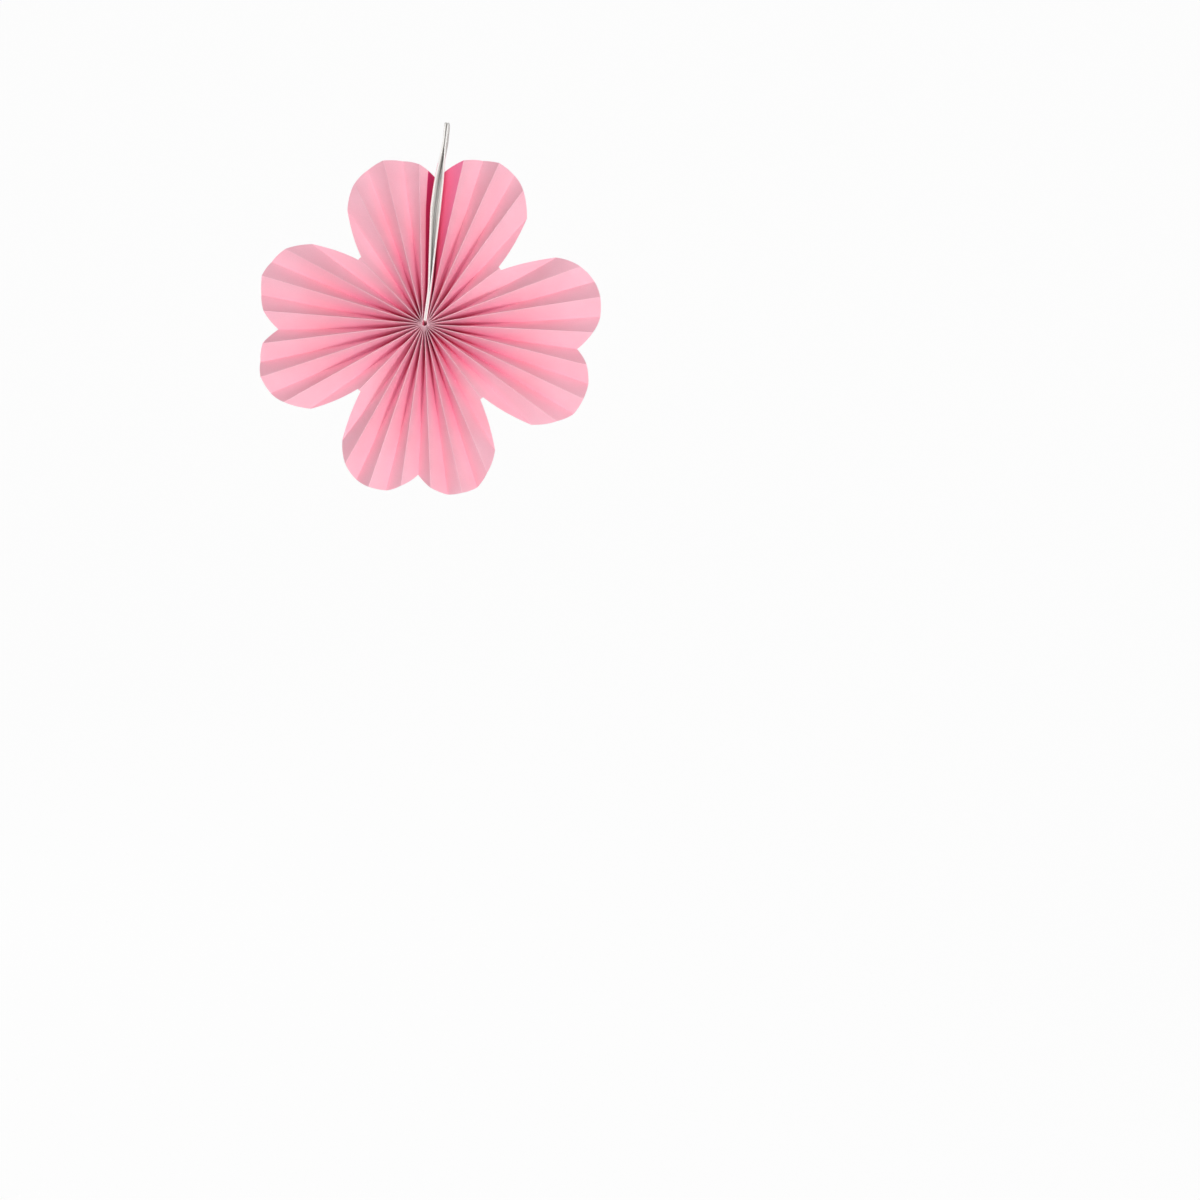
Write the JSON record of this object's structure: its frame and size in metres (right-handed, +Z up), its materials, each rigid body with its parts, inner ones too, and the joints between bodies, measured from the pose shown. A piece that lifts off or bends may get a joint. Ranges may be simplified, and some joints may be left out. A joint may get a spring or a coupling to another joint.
{
  "type": "paper fan rosette",
  "caption": "Hanging paper fan rosette: a pleated dyed-paper flower of heart-shaped petals, closed by card end strips that form a hanging tab with a punched hole.",
  "frame": {"origin": "centre of the punched hanging hole in the tab, on the plane where the two cards touch", "axes": "+Z up along the seam from the hub to the tab, +X to the right seen from the front and along the hanging hole, +Y into the depth of the pleats, so the front faces -Y"},
  "size_m": [0.2947, 0.0176, 0.3207],
  "materials": {
    "dyed_paper": "matte",
    "white_card": "matte",
    "adhesive_tape": "matte",
    "cotton_thread": "matte"
  },
  "bodies": {
    "root": {"pleated_paper": "dyed_paper", "right_end_card": "white_card", "left_end_card": "white_card", "closing_tape": "adhesive_tape", "binding_thread": "cotton_thread"}
  },
  "joints": []
}
